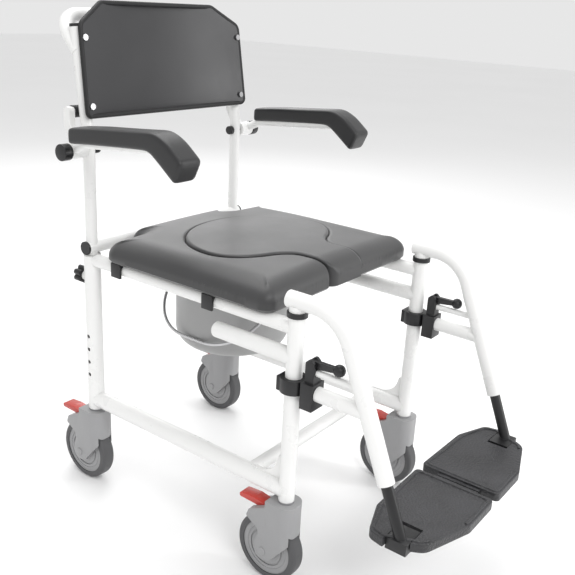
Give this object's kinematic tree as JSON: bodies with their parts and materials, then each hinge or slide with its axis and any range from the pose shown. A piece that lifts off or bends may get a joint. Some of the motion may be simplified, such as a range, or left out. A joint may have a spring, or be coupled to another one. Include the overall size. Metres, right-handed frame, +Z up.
{
  "type": "commode chair",
  "caption": "Wheeled commode and shower chair with an open-front padded seat and lid, slide-out pan, swing-up arms, swing-away footrests and braked casters.",
  "frame": {"origin": "on the floor, under the middle of the overall box", "axes": "+Z up, -Y to the front, +X to the occupant's left"},
  "size_m": [0.546, 0.86, 0.9385],
  "materials": {
    "white_tube": "white powder coat, satin gloss",
    "black_plastic": "black moulded nylon, fine grain",
    "light_plastic": "light grey moulded bush",
    "zinc_steel": "zinc plated",
    "back_panel": "charcoal moulded panel with a black rubber edge",
    "screw_steel": "bright steel",
    "seat_foam": "charcoal integral-skin polyurethane foam, satin",
    "arm_foam": "black integral-skin polyurethane foam",
    "bumper_rubber": "black rubber",
    "pan_plastic": "grey moulded polypropylene",
    "plate_plastic": "charcoal moulded plate with a raised texture",
    "grey_plastic": "mid grey moulded nylon",
    "tyre": "dark grey polyurethane tread",
    "red_plastic": "red moulded nylon"
  },
  "bodies": {
    "frame": {"rear_legs": "white_tube", "front_legs": "white_tube", "lower_side_rails": "white_tube", "seat_rails": "white_tube", "stub_rails": "white_tube", "front_cross_tube": "white_tube", "leg_gussets": "white_tube", "hinge_bushes": "black_plastic", "cane_bushes": "light_plastic", "pan_runners": "white_tube", "latch_brackets": "black_plastic", "caster_stems": "zinc_steel"},
    "back_frame": {"back_canes": "white_tube", "back_cross_tube": "white_tube", "tube_plugs": "black_plastic", "push_handle": "white_tube", "backrest": "back_panel", "backrest_screws": "screw_steel", "arm_pivots": "black_plastic"},
    "seat": {"seat": "seat_foam", "seat_clips": "black_plastic"},
    "lid": {"seat_lid": "seat_foam"},
    "pan": {"commode_pan": "pan_plastic"},
    "bail": {"pan_bail": "screw_steel"},
    "back_knob_left": {"back_knob_left": "black_plastic"},
    "arm_left": {"arm_tube_left": "white_tube", "arm_pad_left": "arm_foam", "arm_bumper_left": "bumper_rubber"},
    "hanger_left": {"hanger_tube_left": "white_tube", "hanger_brace_left": "white_tube", "latch_housing_left": "black_plastic"},
    "latch_lever_left": {"latch_lever_left": "black_plastic"},
    "stem_left": {"footrest_stem_left": "black_plastic"},
    "footplate_left": {"footplate_left": "plate_plastic"},
    "back_knob_right": {"back_knob_right": "black_plastic"},
    "arm_right": {"arm_tube_right": "white_tube", "arm_pad_right": "arm_foam", "arm_bumper_right": "bumper_rubber"},
    "hanger_right": {"hanger_tube_right": "white_tube", "hanger_brace_right": "white_tube", "latch_housing_right": "black_plastic"},
    "latch_lever_right": {"latch_lever_right": "black_plastic"},
    "stem_right": {"footrest_stem_right": "black_plastic"},
    "footplate_right": {"footplate_right": "plate_plastic"},
    "caster_front_left": {"fork_front_left": "grey_plastic"},
    "wheel_front_left": {"wheel_front_left": "grey_plastic", "tyre_front_left": "tyre"},
    "brake_front_left": {"pedal_front_left": "red_plastic"},
    "caster_front_right": {"fork_front_right": "grey_plastic"},
    "wheel_front_right": {"wheel_front_right": "grey_plastic", "tyre_front_right": "tyre"},
    "brake_front_right": {"pedal_front_right": "red_plastic"},
    "caster_rear_left": {"fork_rear_left": "grey_plastic"},
    "wheel_rear_left": {"wheel_rear_left": "grey_plastic", "tyre_rear_left": "tyre"},
    "brake_rear_left": {"pedal_rear_left": "red_plastic"},
    "caster_rear_right": {"fork_rear_right": "grey_plastic"},
    "wheel_rear_right": {"wheel_rear_right": "grey_plastic", "tyre_rear_right": "tyre"},
    "brake_rear_right": {"pedal_rear_right": "red_plastic"}
  },
  "joints": [
    {"name": "back_height", "type": "slide", "parent": "frame", "child": "back_frame", "axis": [0, 0, 1], "range_m": [0, 0.12]},
    {"name": "seat_lift", "type": "slide", "parent": "frame", "child": "seat", "axis": [0, 0, 1], "range_m": [0, 0.1]},
    {"name": "lid_lift", "type": "slide", "parent": "seat", "child": "lid", "axis": [0, 0, 1], "range_m": [0, 0.08]},
    {"name": "pan_slide", "type": "slide", "parent": "frame", "child": "pan", "axis": [0, 1, 0], "range_m": [0, 0.35]},
    {"name": "bail_swing", "type": "hinge", "parent": "pan", "child": "bail", "pos_m": [0, 0.157, 0.4578], "axis": [0, 1, 0], "range_deg": [0, 36]},
    {"name": "back_knob_turn_left", "type": "hinge", "parent": "frame", "child": "back_knob_left", "pos_m": [0.201, 0.338, 0.443], "axis": [0, 1, 0], "continuous": true},
    {"name": "arm_swing_left", "type": "hinge", "parent": "back_frame", "child": "arm_left", "pos_m": [0.201, 0.338, 0.688], "axis": [-1, 0, 0], "range_deg": [0, 95]},
    {"name": "hanger_swing_left", "type": "hinge", "parent": "frame", "child": "hanger_left", "pos_m": [0.201, -0.144, 0.5], "axis": [0, 0, 1], "range_deg": [0, 90]},
    {"name": "latch_release_left", "type": "hinge", "parent": "hanger_left", "child": "latch_lever_left", "pos_m": [0.201, -0.18025, 0.431], "axis": [-1, 0, 0], "range_deg": [0, 40]},
    {"name": "footrest_height_left", "type": "slide", "parent": "hanger_left", "child": "stem_left", "axis": [0, 0.3827, 0.9239], "range_m": [-0.03, 0.05]},
    {"name": "footplate_flip_left", "type": "hinge", "parent": "stem_left", "child": "footplate_left", "pos_m": [0.176, -0.3604, 0.19], "axis": [0, 1, 0], "range_deg": [0, 90]},
    {"name": "back_knob_turn_right", "type": "hinge", "parent": "frame", "child": "back_knob_right", "pos_m": [-0.201, 0.338, 0.443], "axis": [0, 1, 0], "continuous": true},
    {"name": "arm_swing_right", "type": "hinge", "parent": "back_frame", "child": "arm_right", "pos_m": [-0.201, 0.338, 0.688], "axis": [-1, 0, 0], "range_deg": [0, 95]},
    {"name": "hanger_swing_right", "type": "hinge", "parent": "frame", "child": "hanger_right", "pos_m": [-0.201, -0.144, 0.5], "axis": [0, 0, -1], "range_deg": [0, 90]},
    {"name": "latch_release_right", "type": "hinge", "parent": "hanger_right", "child": "latch_lever_right", "pos_m": [-0.201, -0.18025, 0.431], "axis": [-1, 0, 0], "range_deg": [0, 40]},
    {"name": "footrest_height_right", "type": "slide", "parent": "hanger_right", "child": "stem_right", "axis": [0, 0.3827, 0.9239], "range_m": [-0.03, 0.05]},
    {"name": "footplate_flip_right", "type": "hinge", "parent": "stem_right", "child": "footplate_right", "pos_m": [-0.176, -0.3604, 0.19], "axis": [0, -1, 0], "range_deg": [0, 90]},
    {"name": "caster_swivel_front_left", "type": "hinge", "parent": "frame", "child": "caster_front_left", "pos_m": [0.201, -0.144, 0.15], "axis": [0, 0, 1], "continuous": true},
    {"name": "wheel_roll_front_left", "type": "hinge", "parent": "caster_front_left", "child": "wheel_front_left", "pos_m": [0.201, -0.116, 0.0625], "axis": [1, 0, 0], "continuous": true},
    {"name": "brake_press_front_left", "type": "hinge", "parent": "caster_front_left", "child": "brake_front_left", "pos_m": [0.201, -0.102, 0.138], "axis": [-1, 0, 0], "range_deg": [0, 18]},
    {"name": "caster_swivel_front_right", "type": "hinge", "parent": "frame", "child": "caster_front_right", "pos_m": [-0.201, -0.144, 0.15], "axis": [0, 0, 1], "continuous": true},
    {"name": "wheel_roll_front_right", "type": "hinge", "parent": "caster_front_right", "child": "wheel_front_right", "pos_m": [-0.201, -0.116, 0.0625], "axis": [1, 0, 0], "continuous": true},
    {"name": "brake_press_front_right", "type": "hinge", "parent": "caster_front_right", "child": "brake_front_right", "pos_m": [-0.201, -0.102, 0.138], "axis": [-1, 0, 0], "range_deg": [0, 18]},
    {"name": "caster_swivel_rear_left", "type": "hinge", "parent": "frame", "child": "caster_rear_left", "pos_m": [0.201, 0.338, 0.15], "axis": [0, 0, 1], "continuous": true},
    {"name": "wheel_roll_rear_left", "type": "hinge", "parent": "caster_rear_left", "child": "wheel_rear_left", "pos_m": [0.201, 0.366, 0.0625], "axis": [1, 0, 0], "continuous": true},
    {"name": "brake_press_rear_left", "type": "hinge", "parent": "caster_rear_left", "child": "brake_rear_left", "pos_m": [0.201, 0.38, 0.138], "axis": [-1, 0, 0], "range_deg": [0, 18]},
    {"name": "caster_swivel_rear_right", "type": "hinge", "parent": "frame", "child": "caster_rear_right", "pos_m": [-0.201, 0.338, 0.15], "axis": [0, 0, 1], "continuous": true},
    {"name": "wheel_roll_rear_right", "type": "hinge", "parent": "caster_rear_right", "child": "wheel_rear_right", "pos_m": [-0.201, 0.366, 0.0625], "axis": [1, 0, 0], "continuous": true},
    {"name": "brake_press_rear_right", "type": "hinge", "parent": "caster_rear_right", "child": "brake_rear_right", "pos_m": [-0.201, 0.38, 0.138], "axis": [-1, 0, 0], "range_deg": [0, 18]}
  ]
}
